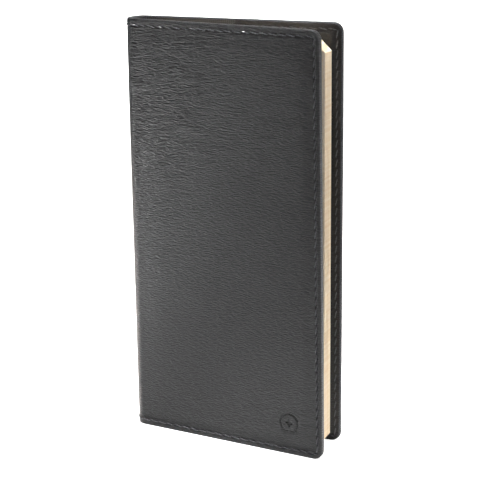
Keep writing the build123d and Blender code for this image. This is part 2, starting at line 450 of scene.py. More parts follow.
class MeshMaker:
    """Collects points and faces of one piece, with its unrolled map and how pale its edges are
    painted, partly for rubbing and partly as a painted highlight.
    """

    def __init__(self) -> None:
        """Start an empty piece."""
        self.points: list[Point] = []
        self.flat: list[Flat] = []
        self.wear: list[float] = []
        self.faces: list[tuple[int, ...]] = []

    def add(self, point: Sequence[float], flat: Flat = (0.0, 0.0), wear: float = 0.0) -> int:
        """Add a point in metres.

        Args:
            point: place in the row frame.
            flat: unrolled place in millimetres.
            wear: 0 where untouched, 1 where the edge is painted palest, partly for rubbing and
                partly as a painted highlight.

        Returns:
            The point's index.
        """
        self.points.append((point[0], point[1], point[2]))
        self.flat.append(flat)
        self.wear.append(wear)
        return len(self.points) - 1

    def loft(self, rows: Sequence[Sequence[int]], capped: bool = False) -> None:
        """Join rows of points with quads.

        Args:
            rows: the rows, of equal length, each closed by its first point if it is a ring.
            capped: whether the first and last rows are rings whose ends are closed.
        """
        for first, second in zip(rows, rows[1:]):
            for i in range(len(first) - 1):
                self.faces.append((first[i], first[i + 1], second[i + 1], second[i]))
        if capped:
            self.faces.append(tuple(rows[0][:-1]))
            self.faces.append(tuple(reversed(rows[-1][:-1])))

    def build(
        self, name: str, material: Material, crease_deg: float = CREASE_DEG, refined: bool = True
    ) -> Object:
        """Make the object: doubled points joined, faces turned outward, many-sided ones split.

        Args:
            name: the piece's name.
            material: its finish.
            crease_deg: edges sharper than this stay sharp.
            refined: whether the sharp edges are found again once the mesh is closed.

        Returns:
            The linked object.
        """
        mesh = bpy.data.meshes.new(name)
        mesh.from_pydata(self.points, [], self.faces)
        layer = mesh.uv_layers.new(name=MeshData.SKIN.value)
        corner_points = np.empty(len(mesh.loops), dtype=np.int64)
        mesh.loops.foreach_get("vertex_index", corner_points)
        unrolled = np.array(self.flat, dtype=float)[corner_points] * UV_PER_MM
        layer.data.foreach_set("uv", unrolled.ravel())
        wear = mesh.attributes.new(MeshData.WEAR.value, "FLOAT", "POINT")
        wear.data.foreach_set("value", np.array(self.wear, dtype=np.float32))
        mesh.validate()
        mesh.update()
        mesh.shade_smooth()
        mesh.set_sharp_from_angle(angle=math.radians(crease_deg))
        work = bmesh.new()
        work.from_mesh(mesh)
        bmesh.ops.remove_doubles(work, verts=work.verts, dist=DOUBLED_M)
        bmesh.ops.dissolve_degenerate(work, edges=work.edges, dist=DOUBLED_M / 10)
        bmesh.ops.recalc_face_normals(work, faces=work.faces)
        big = [face for face in work.faces if len(face.verts) > 4]
        bmesh.ops.triangulate(work, faces=big, ngon_method="EAR_CLIP")
        work.to_mesh(mesh)
        work.free()
        if refined:
            mesh.set_sharp_from_angle(angle=math.radians(crease_deg))
        mesh.materials.append(material)
        made = bpy.data.objects.new(name, mesh)
        bpy.context.scene.collection.objects.link(made)
        log.info("%s: %d faces", name, len(mesh.polygons))
        return made


def smooth(value: float) -> float:
    """Ease from 0 to 1 as value runs from 0 to 1."""
    clipped = min(1.0, max(0.0, value))
    return clipped * clipped * (3 - 2 * clipped)


# Sizes read from the frame, and the path that the cover's leather follows ---------------------


class Side(Enum):
    """The two covers."""

    FRONT = "front"
    BACK = "back"


def joint(name: str) -> dict[str, object]:
    """Return the frame's joint of this name."""
    return next(entry for entry in frame["joints"] if entry["name"] == name)


def span_mm(node: str, axis: int) -> float:
    """Return a CAD node's length along one axis, in millimetres."""
    low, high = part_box(node)
    return (high[axis] - low[axis]) / MM


@dataclass(frozen=True)
class CoverSizes:
    """Sizes of the cover, in millimetres; height, width, half thickness and spine depth are read
    from the frame.
    """

    height: float
    width: float
    half_thickness: float
    spine_depth: float
    corner: float = 4.0
    edge_round: float = 0.7
    seam_inset: float = 2.6
    fore_share: float = 0.8
    stitch_pitch: float = 4.0
    leather: float = 1.0
    tray_depth: float = 2.1
    spine_wall: float = 1.5
    lining: float = 0.5
    turn_in: float = 4.2
    hinge_zone: float = 3.0
    crown: float = 0.34
    lift_deg: float = 2.5
    # Heights of each layer's outer and inner side over the cover's outer face.
    foam: Flat = (-1.0, -1.3)
    board: Flat = (-1.3, -2.1)
    card: Flat = (-2.62, -2.98)
    board_corner: float = 2.0
    card_corner: float = 0.5

    @classmethod
    def from_frame(cls) -> "CoverSizes":
        """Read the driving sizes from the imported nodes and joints.

        Returns:
            The sizes.
        """
        front = joint("front_cover_hinge")["pos_m"]
        back = joint("back_cover_hinge")["pos_m"]
        fore_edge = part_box("back_leather")[1][0]
        return cls(
            height=span_mm("back_leather", 2),
            width=(fore_edge - back[0]) / MM,
            half_thickness=(back[1] - front[1]) / 2 / MM,
            spine_depth=(back[0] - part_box("spine_leather")[0][0]) / MM,
        )


class CoverPath:
    """Carries a point of one cover's unrolled leather to its place in the row frame."""

    ARC_STEPS = 400

    def __init__(self, side: Side, sizes: CoverSizes) -> None:
        """Measure the spine's curve and read the hinge and the cover's opening at rest.

        Args:
            side: which cover.
            sizes: the cover's sizes.
        """
        self.side = side
        self.sizes = sizes
        hinge = joint(f"{side.value}_cover_hinge")
        self.hinge = np.array(hinge["pos_m"], float) / MM
        self.sign = -1.0 if side is Side.FRONT else 1.0
        self.opening = math.radians(max(0.0, -float(hinge["range_deg"][0])))
        self.lift = math.radians(sizes.lift_deg) if side is Side.FRONT else 0.0
        turn = np.linspace(0.0, math.pi / 2, self.ARC_STEPS)
        self.arc_x = -sizes.spine_depth * np.cos(turn)
        self.arc_y = sizes.half_thickness * np.sin(turn)
        steps = np.hypot(np.diff(self.arc_x), np.diff(self.arc_y))
        self.arc_s = np.concatenate(([0.0], np.cumsum(steps)))
        self.spine_half = float(self.arc_s[-1])
        self.total = self.spine_half + sizes.width

    def __call__(self, s: float, w: float, v: float) -> Point:
        """Place one point.

        Args:
            s: distance from the middle of the spine along the leather.
            w: height above the tail.
            v: height above the outer face.

        Returns:
            The place in the row frame, in metres.
        """
        half = self.sizes.half_thickness
        if s < self.spine_half:
            x = float(np.interp(s, self.arc_s, self.arc_x))
            y = float(np.interp(s, self.arc_s, self.arc_y))
            normal_x = x / self.sizes.spine_depth**2
            normal_y = y / half**2
            length = math.hypot(normal_x, normal_y)
            x += v * normal_x / length
            y += v * normal_y / length
        else:
            x = s - self.spine_half
            y = half + v
        zone = self.sizes.hinge_zone
        angle = (self.opening + self.lift * w / self.sizes.height) * smooth((x + zone) / (2 * zone))
        rise = y - half
        turned_x = x * math.cos(angle) - rise * math.sin(angle)
        turned_y = x * math.sin(angle) + rise * math.cos(angle)
        return (
            (self.hinge[0] + turned_x) * MM,
            (self.hinge[1] + self.sign * turned_y) * MM,
            w * MM,
        )

    def blend(self, piece: Object) -> None:
        """Bake a piece's place into its mesh; it stays put and doesn't turn with either cover.

        Args:
            piece: leather, lining or thread that runs from the spine onto the cover.
        """
        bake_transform(piece)

    def ride(self, piece: Object) -> None:
        """Let a piece turn with this cover."""
        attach(piece, f"{self.side.value}_cover")


# The cover's sheets: outer leather and lining -------------------------------------------------


@dataclass
class SheetRuns:
    """Where a three-sided sheet is sampled: along tail and head, and along the fore-edge."""

    path: CoverPath
    extra_s: tuple[float, ...] = ()
    extra_w: tuple[float, ...] = ()
    arc_steps: int = 7
    samples_per_stitch: int = 4
    closest: float = 0.08
    clear_of_corner: float = 0.4

    def __post_init__(self) -> None:
        """Lay the samples so that needle holes fall on them."""
        sizes = self.path.sizes
        self.seam_s = self.path.total - sizes.seam_inset * sizes.fore_share
        self.stitches_s = round(self.seam_s / sizes.stitch_pitch)
        self.pitch_s = self.seam_s / self.stitches_s
        self.seam_w = sizes.height - 2 * sizes.seam_inset
        self.stitches_w = round(self.seam_w / sizes.stitch_pitch)
        self.pitch_w = self.seam_w / self.stitches_w
        end_s = self.path.total - sizes.corner
        low_w = sizes.corner
        high_w = sizes.height - sizes.corner
        clear = self.clear_of_corner
        steps_s = np.arange(0, end_s - clear, self.pitch_s / self.samples_per_stitch)
        near_middle = (0.12, 0.3, 0.6)
        self.run_s = self._merged((*steps_s, end_s, *near_middle, *self.extra_s))
        step_w = self.pitch_w / self.samples_per_stitch
        count_w = self.stitches_w * self.samples_per_stitch
        steps_w = sizes.seam_inset + np.arange(1, count_w) * step_w
        inside = [w for w in steps_w if low_w + clear < w < high_w - clear]
        self.run_w = self._merged((low_w, *inside, high_w, *self.extra_w))

    def _merged(self, values: Iterable[float]) -> list[float]:
        """Sort places and drop those too close to the one before.

        Args:
            values: places along one direction.

        Returns:
            The places that are kept.
        """
        kept: list[float] = []
        for value in sorted(values):
            if not kept or value - kept[-1] > self.closest:
                kept.append(float(value))
        return kept

    def ring(self, inset: float) -> list[Flat]:
        """Points of the sheet's outline, moved inward.

        Args:
            inset: distance from the sheet's edge.

        Returns:
            Places (s, w) from the tail end of the spine round to its head end.
        """
        sizes = self.path.sizes
        radius = max(0.0, sizes.corner - inset)
        end_s = self.path.total - inset * sizes.fore_share - radius
        low_w = inset + radius
        high_w = sizes.height - low_w
        share_s = end_s / self.run_s[-1]
        first_w = self.run_w[0]
        share_w = (high_w - low_w) / (self.run_w[-1] - first_w)
        tail = [(s * share_s, inset) for s in self.run_s]
        arc = [
            (end_s + radius * math.sin(turn), low_w - radius * math.cos(turn))
            for turn in np.linspace(0, math.pi / 2, self.arc_steps + 1)[1:-1]
        ]
        fore = [(end_s + radius, low_w + (w - first_w) * share_w) for w in self.run_w]
        head_arc = [(s, sizes.height - w) for s, w in reversed(arc)]
        head = [(s, sizes.height - w) for s, w in reversed(tail)]
        return tail + arc + fore + head_arc + head


@dataclass
class Relief:
    """Height of a stitched, padded sheet over its own plane."""

    runs: SheetRuns
    crown: float
    groove: float
    hole: float
    welt: float = 0.07
    groove_half: float = 0.7
    crown_gap: float = 0.6
    crown_run: float = 7.5
    hole_across: float = 0.42
    hole_along: float = 0.62
    ripple: float = 0.035
    on_spine: float = 0.25
    spine_blend: float = 12.0
    motif: Height | None = None

    def margin(self, inset: float) -> float:
        """Measure the welt, the seam's groove and the crown.

        Args:
            inset: distance from the sheet's edge.

        Returns:
            The height at this distance.
        """
        seam = self.runs.path.sizes.seam_inset
        edge = self.runs.path.sizes.edge_round
        half = self.groove_half
        height = 0.0
        if edge < inset < seam - half:
            height += self.welt * math.sin(math.pi * (inset - edge) / (seam - half - edge))
        if abs(inset - seam) < half:
            height -= self.groove * math.cos(math.pi * (inset - seam) / (2 * half)) ** 2
        return height + self.crown * smooth((inset - seam - self.crown_gap) / self.crown_run)

    def puckers(self, s: float, w: float, inset: float) -> float:
        """Measure how far the needle holes pull the sheet down.

        Args:
            s: place along the leather.
            w: height above the tail.
            inset: distance from the sheet's edge.

        Returns:
            The height, which is negative near a hole.
        """
        sizes = self.runs.path.sizes
        past_corner = s > self.runs.path.total - sizes.corner
        if past_corner and sizes.corner < w < sizes.height - sizes.corner:
            position = (w - sizes.seam_inset) / self.runs.pitch_w
        else:
            position = s / self.runs.pitch_s
        to_hole = abs(position - round(position)) * sizes.stitch_pitch
        across = math.exp(-(((inset - sizes.seam_inset) / self.hole_across) ** 2))
        return -self.hole * across * math.exp(-((to_hole / self.hole_along) ** 2))

    def at(self, s: float, w: float, inset: float) -> float:
        """Measure the whole relief, with the slow unevenness of a hand-turned cover.

        Args:
            s: place along the leather.
            w: height above the tail.
            inset: distance from the sheet's edge.

        Returns:
            The height.
        """
        path = self.runs.path
        on_cover = smooth((s - path.spine_half + 1.0) / self.spine_blend)
        height = self.margin(inset)
        if height > 0 and inset > path.sizes.seam_inset:
            height *= self.on_spine + (1 - self.on_spine) * on_cover
        wave = math.sin(0.071 * s + 1.3) * math.sin(0.047 * w + 0.4)
        wave += 0.6 * math.sin(0.113 * s - 0.083 * w)
        height += self.ripple * wave * on_cover * smooth((inset - 4.0) / 8.0)
        if self.motif is not None:
            height += self.motif(s, w)
        return height + self.puckers(s, w, inset)


@dataclass
class StitchedSheet:
    """A sheet round a cover: rings from its hidden side, over its edge, to its shown field."""

    runs: SheetRuns
    relief: Relief
    hidden: Callable[[float], Sequence[Flat]]
    shown_insets: Sequence[float]
    base: Callable[[float], float]
    facing: float
    # How pale the edges are painted and how far in: partly rubbing, partly a painted highlight.
    edge_wear: float = 1.0
    wear_reach: float = 1.1

    def _ring(self, mesh: MeshMaker, inset: float, height: Height) -> list[int]:
        """Add one ring of points.

        Args:
            mesh: the sheet's mesh.
            inset: the ring's distance from the edge.
            height: gives the ring's height at (s, w).

        Returns:
            The points' indices.
        """
        # Edge colour painted paler, fading inward: partly rubbing, partly a painted highlight.
        wear = self.edge_wear * math.exp(-((inset / self.wear_reach) ** 2))
        ring = []
        for s, w in self.runs.ring(inset):
            place = self.runs.path(s, w, height(s, w))
            ring.append(mesh.add(place, (s, w), wear))
        return ring

    def build(self, name: str, material: Material) -> Object:
        """Make the sheet as one closed mesh.

        Args:
            name: the piece's name.
            material: its finish.

        Returns:
            The object.
        """
        mesh = MeshMaker()
        rings = []
        for index in range(len(self.hidden(0.0))):
            inset = self.hidden(self.runs.path.total)[index][0]
            rings.append(self._ring(mesh, inset, lambda s, w, i=index: self.hidden(s)[i][1]))
        for inset in self.shown_insets:
            rings.append(
                self._ring(
                    mesh,
                    inset,
                    lambda s, w, d=inset: self.base(s) + self.facing * self.relief.at(s, w, d),
                )
            )
        mesh.loft(rings)
        column = self._field(mesh, rings[-1])
        self._back(mesh, rings[0])
        cap = [ring[0] for ring in rings] + column + [ring[-1] for ring in reversed(rings)]
        mesh.faces.append(tuple(cap))
        return mesh.build(name, material)

    def _field(self, mesh: MeshMaker, ring: list[int]) -> list[int]:
        """Fill the shown side inside its last ring.

        Args:
            mesh: the sheet's mesh.
            ring: the last ring's points.

        Returns:
            The new points on the spine's middle, from tail to head.
        """
        count_s = len(self.runs.run_s)
        arc = self.runs.arc_steps - 1
        count_w = len(self.runs.run_w)
        tail = ring[:count_s]
        fore = ring[count_s + arc : count_s + arc + count_w]
        head = list(reversed(ring[-count_s:]))
        path = self.runs.path
        rows = [tail]
        for k in range(1, count_w - 1):
            row = []
            for j in range(count_s - 1):
                s = mesh.flat[tail[j]][0]
                w = mesh.flat[fore[k]][1]
                inset = self._distance(s, w)
                height = self.base(s) + self.facing * self.relief.at(s, w, inset)
                row.append(mesh.add(path(s, w, height), (s, w)))
            row.append(fore[k])
            rows.append(row)
        mesh.loft(rows + [head])
        return [row[0] for row in rows[1:]]

    def _distance(self, s: float, w: float) -> float:
        """Measure a rounded distance to the nearest of the three edges.

        Args:
            s: place along the leather.
            w: height above the tail.

        Returns:
            The distance.
        """
        path = self.runs.path
        spans = ((path.total - s) / path.sizes.fore_share, w, path.sizes.height - w)
        sharpness = 0.45
        return -math.log(sum(math.exp(-sharpness * span) for span in spans)) / sharpness

    def _back(self, mesh: MeshMaker, ring: list[int]) -> None:
        """Close the hidden side with long strips from tail to head.

        Args:
            mesh: the sheet's mesh.
            ring: the hidden side's innermost ring.
        """
        count_s = len(self.runs.run_s)
        tail = ring[:count_s]
        head = list(reversed(ring[-count_s:]))
        mesh.loft([tail, head])
        mesh.faces.append(tuple(ring[count_s - 1 : len(ring) - count_s + 1]))


@dataclass
class CompassStar:
    """A plain ring round a small four-pointed star, pressed blind into the leather."""

    s: float
    w: float
    ring_radius: float = 4.0
    ring_width: float = 0.8
    star_radius: float = 3.0
    depth: float = 0.42
    wall: float = 0.12
    step: float = 0.25

    def __call__(self, s: float, w: float) -> float:
        """Measure the mark's depth.

        Args:
            s: place along the leather.
            w: height above the tail.

        Returns:
            The height over the leather's own plane, which is negative in the mark.
        """
        across, along = abs(s - self.s), abs(w - self.w)
        away = math.hypot(across, along)
        spread = math.sqrt(across / self.star_radius) + math.sqrt(along / self.star_radius)
        in_star = smooth((1.02 - spread) / 0.16)
        to_wall = self.ring_width / 2 + self.wall - abs(away - self.ring_radius)
        in_ring = smooth(to_wall / (2 * self.wall))
        return -self.depth * max(in_star, in_ring)

    def samples(self, centre: float) -> tuple[float, ...]:
        """List fine sample places across the mark.

        Args:
            centre: the mark's middle along one direction.

        Returns:
            The places.
        """
        reach = self.ring_radius + self.ring_width
        return tuple(centre + offset for offset in np.arange(-reach, reach + self.step, self.step))


@dataclass
class ThreadStyle:
    """A plied thread, in millimetres."""

    ply_radius: float = 0.19
    ply_offset: float = 0.13
    turns: float = 1.5
    sides: int = 5
    steps: int = 9
    slant: float = 0.4
    crown: float = 0.06
    dip: float = 0.5
    hole_share: float = 0.13
    end_gap: float = 0.02

    def rise(self, share: float) -> float:
        """Return the thread's height at a share of its length: down in its holes, else crowned."""
        ends = min(share, 1 - share) / self.hole_share
        return self.crown * smooth(ends * 0.8) - self.dip * (1 - smooth(ends))

    def stitch(self, mesh: MeshMaker, place: Place) -> None:
        """Add one stitch as two twisted plies.

        Args:
            mesh: the thread's mesh.
            place: carries (share along the stitch, sideways, up) to the row frame.
        """
        for ply in (0.0, math.pi):
            rings = []
            for step in range(self.steps + 1):
                share = step / self.steps
                twist = ply + self.turns * math.tau * share
                side = self.ply_offset * math.cos(twist) + self.slant * (2 * share - 1)
                up = self.rise(share) + self.ply_offset * math.sin(twist)
                ring = []
                for k in range(self.sides):
                    turn = math.tau * k / self.sides
                    offset = self.ply_radius * math.cos(turn), self.ply_radius * math.sin(turn)
                    ring.append(mesh.add(place(share, side + offset[0], up + offset[1])))
                rings.append(ring + ring[:1])
            mesh.loft(rings, capped=True)


@dataclass
class Cover:
    """One cover with its half of the spine: leather, lining, flap, seam and the layers between."""

    PANEL_STEPS: ClassVar[int] = 12
    PANEL_ROWS: ClassVar[int] = 16
    PANEL_EASE: ClassVar[float] = 0.08
    CORNER_STEPS: ClassVar[int] = 4
    # Distances from the edge of the rings on each shown side, closest where the seam pulls it in.
    LEATHER_RINGS: ClassVar[tuple[float, ...]] = (
        1.25, 1.6, 1.9, 2.2, 2.4, 2.6, 2.8, 3.0, 3.3, 3.8, 4.6, 5.8, 7.2
    )
    LINING_RINGS: ClassVar[tuple[float, ...]] = (0.7, 1.9, 2.3, 2.6, 2.9, 3.3, 4.6, 7.2)
    FLAP_RINGS: ClassVar[tuple[float, ...]] = (
        0.2, 1.3, 1.6, 1.8, 2.1, 2.25, 2.45, 2.8, 3.2, 3.6, 4.4
    )
    FLAP_UNDER_RINGS: ClassVar[tuple[Flat, ...]] = (
        (4.4, 0.0), (2.9, 0.0), (0.25, 0.0), (0.0, 0.16)
    )

    side: Side
    sizes: CoverSizes
    star_from_edges: Flat = (14.8, 14.3)
    lining_inset: float = 0.12
    flap_start: float = 38.0
    flap_corner: float = 3.4
    flap_edge: float = 0.35
    sewn_rim: float = 2.9
    card_step: float = 1.3
    flap_top: Flat = (3.08, 0.42)  # depth of its shown side at the rim, and its rise over the card
    flap_under: Flat = (2.62, 0.38)  # the same for its hidden side
    flap_groove: Flat = (0.45, 0.1)  # half the sewn groove's width, and its depth
    flap_crease: Flat = (1.7, 0.36)  # the creased line's distance in, and half its width
    stitch_level: float = 0.04
    thread: ThreadStyle = field(default_factory=ThreadStyle)

    def __post_init__(self) -> None:
        """Lay out the path and the samples."""
        self.path = CoverPath(self.side, self.sizes)
        self.plain_runs = self.runs = SheetRuns(self.path)
        self.star = None
        if self.side is Side.FRONT:
            from_fore_edge, from_tail = self.star_from_edges
            self.star = CompassStar(s=self.path.total - from_fore_edge, w=from_tail)
            extra_s, extra_w = self.star.samples(self.star.s), self.star.samples(self.star.w)
            self.runs = SheetRuns(self.path, extra_s, extra_w)

    def wall(self, s: float) -> float:
        """Return how deep the leather's turned edge is: less in the spine than on the cover."""
        share = smooth((s - self.path.spine_half + 2.0) / 4.0)
        return self.sizes.spine_wall + share * (self.sizes.tray_depth - self.sizes.spine_wall)

    def settle(self, made: Object, node: str, on_spine: bool = False) -> Object:
        """Put a piece on its cover's body, or bake it in place if it runs over the crease, and hide
        its CAD nodes.

        Args:
            made: the piece.
            node: its CAD node's name, with braces for the side.
            on_spine: whether it runs on over the crease; the front one then has the spine's too.

        Returns:
            The piece.
        """
        nodes = [node.format(self.side.value)]
        if on_spine:
            self.path.blend(made)
        else:
            self.path.ride(made)
        if on_spine and self.side is Side.FRONT:
            nodes.append(node.format("spine"))
        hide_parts(*nodes)
        return made

    def leather_underside(self, s: float) -> list[Flat]:
        """List the rings under the leather and up its rounded edge.

        Args:
            s: place along the leather.

        Returns:
            Each ring's inset and height.
        """
        wall, edge = self.wall(s), self.sizes.edge_round
        turn_in = self.sizes.turn_in
        turned = [(turn_in, -self.sizes.leather), (turn_in, -wall), (0.35, -wall)]
        turned += [(0.12, -wall + 0.05), (0.02, -wall + 0.22), (0.0, -wall + 0.45)]
        turns = np.linspace(0, math.pi / 2, 7)[:-1]
        return turned + [(edge * (1 - math.cos(t)), -edge + edge * math.sin(t)) for t in turns]

    def build_leather(self, material: Material) -> Object:
        """Build the outer leather from the middle of the spine to the fore-edge.

        Args:
            material: the leather's finish.

        Returns:
            The leather piece.
        """
        relief = Relief(self.runs, self.sizes.crown, groove=0.24, hole=0.34, motif=self.star)
        shown = (self.sizes.edge_round, *self.LEATHER_RINGS)
        sheet = StitchedSheet(
            self.runs, relief, self.leather_underside, shown, base=lambda s: 0.0, facing=1.0
        )
        made = sheet.build(f"{self.side.value}_cover_leather", material)
        return self.settle(made, "{}_leather", on_spine=True)

    def lining_underside(self, s: float) -> list[Flat]:
        """List the rings under the lining and round its edge.

        Args:
            s: place along the leather.

        Returns:
            Each ring's inset and height.
        """
        glued = -self.wall(s)
        free = glued - self.sizes.lining
        edge = [(1.2, glued - 0.03), (0.35, glued - 0.03), (0.16, glued - 0.12)]
        return edge + [(0.12, glued - 0.25), (0.16, glued - 0.38), (0.35, free + 0.03)]

    def build_lining(self, material: Material, under: Object) -> Object:
        """Build the lining from the middle of the spine to the fore-edge.

        Args:
            material: the lining's finish.
            under: the leather piece that it is glued to; not used.

        Returns:
            The lining piece.
        """
        relief = Relief(self.plain_runs, crown=-0.05, groove=0.12, hole=0.2, welt=0.0)
        sheet = StitchedSheet(
            self.plain_runs,
            relief,
            self.lining_underside,
            shown_insets=self.LINING_RINGS,
            base=lambda s: -self.wall(s) - self.sizes.lining,
            facing=-1.0,
            edge_wear=0.0,
        )
        made = sheet.build(f"{self.side.value}_cover_lining", material)
        self.settle(made, "{}_lining", on_spine=True)
        return made

    def build_panel(
        self, node: str, slot: str, levels: Flat, radius: float, material: Material
    ) -> Object:
        """Build a flat layer of the cover, its arrises eased, as wide and tall as its CAD node.

        Args:
            node: the CAD node whose outline it takes on the back cover.
            slot: the record's slot for its finish; not used.
            levels: heights of its outer and inner side.
            radius: radius of its two fore-edge corners.
            material: its finish.

        Returns:
            The layer.
        """
        low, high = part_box(node.format("back"))
        box = [(low[0] / MM - self.path.hinge[0], high[0] / MM - self.path.hinge[0])]
        box.append((low[2] / MM, high[2] / MM))
        outer, inner = levels
        ease = self.PANEL_EASE
        outside = ((0, inner + ease), (0, outer - ease), (ease, outer), (4, outer), (10, outer))
        inside = ((0, inner + ease), (ease, inner), (4, inner), (10, inner))
        mesh = MeshMaker()
        for rows in (outside, inside):
            rings = [self._panel_ring(mesh, box, inset, radius, level) for inset, level in rows]
            mesh.loft(rings)
            self._fill(mesh, rings[-1][:-1])
        made = mesh.build(node.format(self.side.value) + "_sheet", material, refined=False)
        return self.settle(made, node)

    def _panel_ring(
        self, mesh: MeshMaker, box: list[Flat], inset: float, radius: float, level: float
    ) -> list[int]:
        """Add one closed outline of a panel, its corners rounded while they can be.

        Args:
            mesh: the panel's mesh.
            box: the panel's extent from the crease, and from the tail.
            inset: how far the outline is moved inward.
            radius: radius of the corners before that.
            level: height of the outline.

        Returns:
            The points' indices, the first one again at the end.
        """
        x_low, x_high, w_low, w_high = (
            end + inset * sign for ends in box for end, sign in zip(ends, (1, -1))
        )
        rounding = max(0.05, radius - inset)
        x_mid, w_mid = x_high - rounding, w_low + rounding
        turns = np.linspace(0, math.pi / 2, self.CORNER_STEPS + 1)[1:]
        tail = [(x, w_low) for x in np.linspace(x_low, x_mid, self.PANEL_STEPS)]
        tail += [(x_mid + rounding * math.sin(t), w_mid - rounding * math.cos(t)) for t in turns]
        middle = np.linspace(w_mid, w_high - rounding, self.PANEL_ROWS)[1:-1]
        head = [(x, w_low + w_high - w) for x, w in reversed(tail)]
        spine = np.linspace(w_high, w_low, self.PANEL_ROWS)[1:-1]
        places = tail + [(x_high, w) for w in middle] + head + [(x_low, w) for w in spine]
        crease = self.path.spine_half
        ring = [mesh.add(self.path(crease + x, w, level), (x, w)) for x, w in places]
        return ring + ring[:1]

    def _fill(self, mesh: MeshMaker, points: list[int]) -> None:
        """Fill a panel's middle with strips from its tail half to its head half.

        Args:
            mesh: the panel's mesh.
            points: the innermost outline, from the tail end of the crease.
        """
        tail_count = self.PANEL_STEPS + self.CORNER_STEPS
        fore_end = tail_count + self.PANEL_ROWS - 2
        tail, fore = points[:tail_count], points[tail_count:fore_end]
        head = points[fore_end : fore_end + tail_count][::-1]
        spine = points[fore_end + tail_count :][::-1]
        rows = [tail]
        for left, right in zip(spine, fore):
            row = [left]
            w = (mesh.flat[left][1] + mesh.flat[right][1]) / 2
            place = Vector(mesh.points[left]), Vector(mesh.points[right])
            x_left, x_right = mesh.flat[left][0], mesh.flat[right][0]
            for index in tail[1:-1]:
                x = mesh.flat[index][0]
                share = (x - x_left) / (x_right - x_left)
                row.append(mesh.add(place[0].lerp(place[1], share), (x, w)))
            rows.append(row + [right])
        mesh.loft(rows + [head])

    def flap_outline(self, inset: float) -> list[Flat]:
        """List the flap's outline, moved inward.

        Args:
            inset: how far it is moved.

        Returns:
            Places, as (x from the crease, w).
        """
        edge, height = self.flap_edge, self.sizes.height
        cut = edge + self.flap_corner + inset * (math.sqrt(2) - 1)
        low, high = edge + inset, height - edge - inset
        x_high = self.sizes.width - edge - inset
        radius = max(0.15, self.sizes.corner - edge - inset)
        x_mid, low_mid, high_mid = x_high - radius, low + radius, high - radius
        turns = np.linspace(0, math.pi / 2, 7)[1:-1]
        level = np.linspace(self.flap_start + cut - edge, x_mid, 12)
        points = [(self.flap_start + inset, w) for w in np.linspace(cut, height - cut, 9)]
        points += [(x, high) for x in level]
        points += [(x_mid + radius * math.sin(t), high_mid + radius * math.cos(t)) for t in turns]
        points += [(x_high, w) for w in np.linspace(high_mid, low_mid, 12)]
        points += [(x_mid + radius * math.cos(t), low_mid - radius * math.sin(t)) for t in turns]
        points += [(x, low) for x in level[::-1]]
        return points

    def over_card(self, x: float, w: float) -> Flat:
        """Measure how near a place on the flap is to its sewn edges.

        Args:
            x: distance from the crease.
            w: height above the tail.

        Returns:
            The distance to the nearest sewn edge, and how far the flap has stepped over the card.
        """
        sewn = min(self.sizes.width - x, w, self.sizes.height - w)
        return sewn, smooth((sewn - self.sewn_rim) / self.card_step)

    def flap_surface(self, x: float, w: float) -> float:
        """Measure the flap's shown side: low on its sewn rim, higher over the card.

        Args:
            x: distance from the crease.
            w: height above the tail.

        Returns:
            The height over the cover's outer face, which is negative.
        """
        sewn, step = self.over_card(x, w)
        height = self.flap_top[0] + self.flap_top[1] * step
        half, depth = self.flap_groove
        from_seam = sewn - self.sizes.seam_inset
        if abs(from_seam) < half:
            height -= depth * math.cos(math.pi * from_seam / (2 * half)) ** 2
        distance, half = self.flap_crease
        creased = abs(x - self.flap_start - distance) < half
        return -(height - depth * creased)

    def build_flap(self, material: Material) -> Object:
        """Build the pocket flap.

        Args:
            material: the flap's finish.

        Returns:
            The flap piece.
        """
        mesh = MeshMaker()
        crease = self.path.spine_half
        rings = []
        # The flap's hidden side is painted as pale as its edges: partly rubbing, partly a painted
        # highlight.
        for inset, rise in self.FLAP_UNDER_RINGS:
            ring = []
            for x, w in self.flap_outline(inset):
                level = -self.flap_under[0] - self.flap_under[1] * self.over_card(x, w)[1] - rise
                ring.append(mesh.add(self.path(crease + x, w, level), (x, w), 1.0))
            rings.append(ring + ring[:1])
        eased = ((0.0, 0.14), (0.07, 0.05))
        for inset, drop in (*eased, *((inset, 0.0) for inset in self.FLAP_RINGS)):
            # The flap's edges are painted paler too: partly rubbing, partly a painted highlight.
            wear = math.exp(-inset)
            ring = []
            for x, w in self.flap_outline(inset):
                level = self.flap_surface(x, w) + drop
                ring.append(mesh.add(self.path(crease + x, w, level), (x, w), wear))
            rings.append(ring + ring[:1])
        mesh.loft(rings, capped=True)
        made = mesh.build(f"{self.side.value}_pocket_flap", material)
        return self.settle(made, "{}_flap")

    def seam_runs(self) -> list[tuple[Flat, Flat, int, Flat]]:
        """List the seam's three straight runs.

        Returns:
            Each run's first hole, its step, its count of stitches and its sideways direction.
        """
        runs, inset = self.runs, self.sizes.seam_inset
        level_step, down = (runs.pitch_s, 0.0), (0.0, -1.0)
        return [
            ((0.0, inset), level_step, runs.stitches_s, down),
            ((0.0, self.sizes.height - inset), level_step, runs.stitches_s, down),
            ((runs.seam_s, inset), (0.0, runs.pitch_w), runs.stitches_w, (1.0, 0.0)),
        ]

    def inside_level(self, s: float) -> float:
        """Return the height of what the inside stitches lie on: the flap's rim, or the lining."""
        on_flap = s - self.path.spine_half > self.flap_start + 1.0
        return -3.0 if on_flap else -self.wall(s) - self.sizes.lining + 0.02

    def lay_stitch(
        self, mesh: MeshMaker, holes: tuple[Flat, Flat], across: Flat, out: bool
    ) -> None:
        """Lay one stitch between two needle holes.

        Args:
            mesh: the thread's mesh.
            holes: where it starts and ends, each as (s, w).
            across: its sideways direction.
            out: whether it lies on the outside of the cover.
        """

